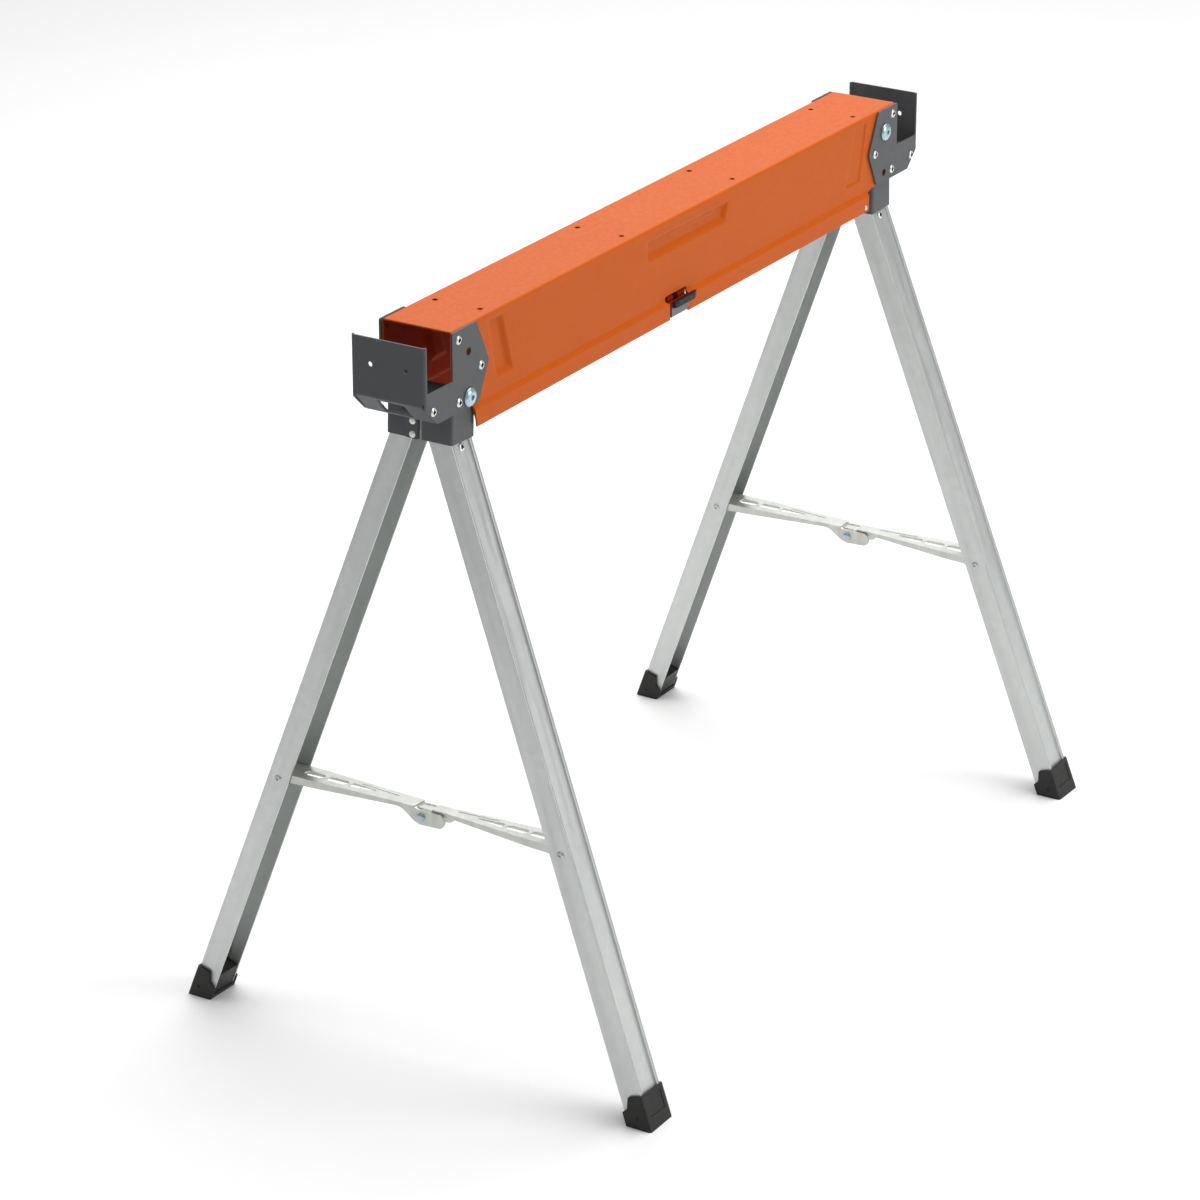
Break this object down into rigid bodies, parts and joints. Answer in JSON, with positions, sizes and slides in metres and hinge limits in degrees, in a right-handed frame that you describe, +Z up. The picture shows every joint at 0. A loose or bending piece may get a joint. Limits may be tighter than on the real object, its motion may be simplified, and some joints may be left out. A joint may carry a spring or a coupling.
{
  "type": "folding sawhorse",
  "caption": "Folding steel sawhorse: orange beam with board slots at both ends, splayed channel legs that fold up inside it, locking braces and black feet.",
  "frame": {"origin": "on the floor, under the middle of the beam", "axes": "+X along the beam, towards the end whose legs pivot in the high hole; +Y across it, away from the latch; +Z up"},
  "size_m": [1.0238, 0.5868, 0.812],
  "materials": {
    "beam_paint": "orange powder coat, satin",
    "bracket_paint": "dark grey powder coat, satin",
    "galvanised_steel": "galvanised, fine grain along the leg",
    "zinc_bolt": "bright blue zinc plating",
    "bright_rivet": "bright nickel",
    "latch_steel": "grey, satin",
    "foot_plastic": "moulded black plastic, fine texture",
    "latch_plastic": "black plastic"
  },
  "bodies": {
    "beam": {"beam_channel": "beam_paint", "cheek_rivet_left_far_1": "bright_rivet", "cheek_rivet_left_far_2": "bright_rivet", "cheek_rivet_left_far_3": "bright_rivet", "cheek_rivet_left_far_4": "bright_rivet", "cheek_rivet_left_near_1": "bright_rivet", "cheek_rivet_left_near_2": "bright_rivet", "cheek_rivet_left_near_3": "bright_rivet", "cheek_rivet_left_near_4": "bright_rivet", "cheek_rivet_right_far_1": "bright_rivet", "cheek_rivet_right_far_2": "bright_rivet", "cheek_rivet_right_far_3": "bright_rivet", "cheek_rivet_right_far_4": "bright_rivet", "cheek_rivet_right_near_1": "bright_rivet", "cheek_rivet_right_near_2": "bright_rivet", "cheek_rivet_right_near_3": "bright_rivet", "cheek_rivet_right_near_4": "bright_rivet", "end_bracket_left": "bracket_paint", "end_bracket_right": "bracket_paint", "latch_guide": "bright_rivet", "latch_pin": "bright_rivet", "latch_spring": "bright_rivet"},
    "left_pivot": {"pivot_bolt_left": "zinc_bolt", "pivot_nut_left": "zinc_bolt"},
    "left_hub": {"pivot_sleeve_left": "zinc_bolt", "hub_left_near": "bracket_paint", "leg_pin_left_near": "bright_rivet", "hub_left_far": "bracket_paint", "leg_pin_left_far": "bright_rivet"},
    "left_near_leg": {"leg_left_near": "galvanised_steel", "stop_rivet_left_near": "bright_rivet", "foot_left_near": "foot_plastic", "brace_pin_left_near": "bright_rivet"},
    "left_near_brace": {"brace_link_left_near": "galvanised_steel"},
    "left_far_leg": {"leg_left_far": "galvanised_steel", "stop_rivet_left_far": "bright_rivet", "foot_left_far": "foot_plastic", "brace_pin_left_far": "bright_rivet"},
    "left_far_brace": {"brace_link_left_far": "galvanised_steel"},
    "right_pivot": {"pivot_bolt_right": "zinc_bolt", "pivot_nut_right": "zinc_bolt"},
    "right_hub": {"pivot_sleeve_right": "zinc_bolt", "hub_right_near": "bracket_paint", "leg_pin_right_near": "bright_rivet", "hub_right_far": "bracket_paint", "leg_pin_right_far": "bright_rivet"},
    "right_near_leg": {"leg_right_near": "galvanised_steel", "stop_rivet_right_near": "bright_rivet", "foot_right_near": "foot_plastic", "brace_pin_right_near": "bright_rivet"},
    "right_near_brace": {"brace_link_right_near": "galvanised_steel"},
    "right_far_leg": {"leg_right_far": "galvanised_steel", "stop_rivet_right_far": "bright_rivet", "foot_right_far": "foot_plastic", "brace_pin_right_far": "bright_rivet"},
    "right_far_brace": {"brace_link_right_far": "galvanised_steel"},
    "latch": {"latch_catch": "latch_steel", "latch_paddle": "latch_plastic"}
  },
  "joints": [
    {"name": "left_stow", "type": "hinge", "parent": "beam", "child": "left_pivot", "pos_m": [-0.4328, 0, 0.7362], "axis": [0, -1, 0], "range_deg": [0, 22.46]},
    {"name": "left_fold", "type": "hinge", "parent": "left_pivot", "child": "left_hub", "pos_m": [-0.4328, 0, 0.7362], "axis": [0, -1, 0], "range_deg": [0, 70]},
    {"name": "left_near_close", "type": "hinge", "parent": "left_hub", "child": "left_near_leg", "pos_m": [-0.43664, -0.02, 0.71498], "axis": [0.9991, 0, -0.0429], "range_deg": [0, 20.2]},
    {"name": "left_near_brace_fold", "type": "hinge", "parent": "left_near_leg", "child": "left_near_brace", "pos_m": [-0.45539, -0.1751, 0.27858], "axis": [0.9991, 0, -0.0429], "range_deg": [0, 66.32]},
    {"name": "left_far_close", "type": "hinge", "parent": "left_hub", "child": "left_far_leg", "pos_m": [-0.43664, 0.02, 0.71498], "axis": [-0.9991, 0, 0.0429], "range_deg": [0, 20.2]},
    {"name": "left_far_brace_fold", "type": "hinge", "parent": "left_far_leg", "child": "left_far_brace", "pos_m": [-0.45539, 0.1751, 0.27858], "axis": [-0.9991, 0, 0.0429], "range_deg": [0, 66.32]},
    {"name": "right_stow", "type": "hinge", "parent": "beam", "child": "right_pivot", "pos_m": [0.4328, 0, 0.7845], "axis": [0, 1, 0], "range_deg": [0, 22.46]},
    {"name": "right_fold", "type": "hinge", "parent": "right_pivot", "child": "right_hub", "pos_m": [0.4328, 0, 0.7845], "axis": [0, 1, 0], "range_deg": [0, 70]},
    {"name": "right_near_close", "type": "hinge", "parent": "right_hub", "child": "right_near_leg", "pos_m": [0.43664, -0.02, 0.71498], "axis": [0.9991, 0, 0.0429], "range_deg": [0, 20.2]},
    {"name": "right_near_brace_fold", "type": "hinge", "parent": "right_near_leg", "child": "right_near_brace", "pos_m": [0.45539, -0.1751, 0.27858], "axis": [0.9991, 0, 0.0429], "range_deg": [0, 66.32]},
    {"name": "right_far_close", "type": "hinge", "parent": "right_hub", "child": "right_far_leg", "pos_m": [0.43664, 0.02, 0.71498], "axis": [-0.9991, 0, -0.0429], "range_deg": [0, 20.2]},
    {"name": "right_far_brace_fold", "type": "hinge", "parent": "right_far_leg", "child": "right_far_brace", "pos_m": [0.45539, 0.1751, 0.27858], "axis": [-0.9991, 0, -0.0429], "range_deg": [0, 66.32]},
    {"name": "latch_lever", "type": "hinge", "parent": "beam", "child": "latch", "pos_m": [-0.026, -0.0365, 0.7215], "axis": [-1, 0, 0], "range_deg": [0, 30], "stiffness_Nm_per_rad": 0.25}
  ],
  "couplings": [
    {"joint": "left_near_brace_fold", "follows": "left_near_close", "ratio": 3.283},
    {"joint": "left_far_close", "follows": "left_near_close", "ratio": 1},
    {"joint": "left_fold", "follows": "left_near_close", "ratio": 3.4653},
    {"joint": "left_far_brace_fold", "follows": "left_near_close", "ratio": 3.283},
    {"joint": "right_near_brace_fold", "follows": "right_near_close", "ratio": 3.283},
    {"joint": "right_far_close", "follows": "right_near_close", "ratio": 1},
    {"joint": "right_fold", "follows": "right_near_close", "ratio": 3.4653},
    {"joint": "right_far_brace_fold", "follows": "right_near_close", "ratio": 3.283}
  ]
}
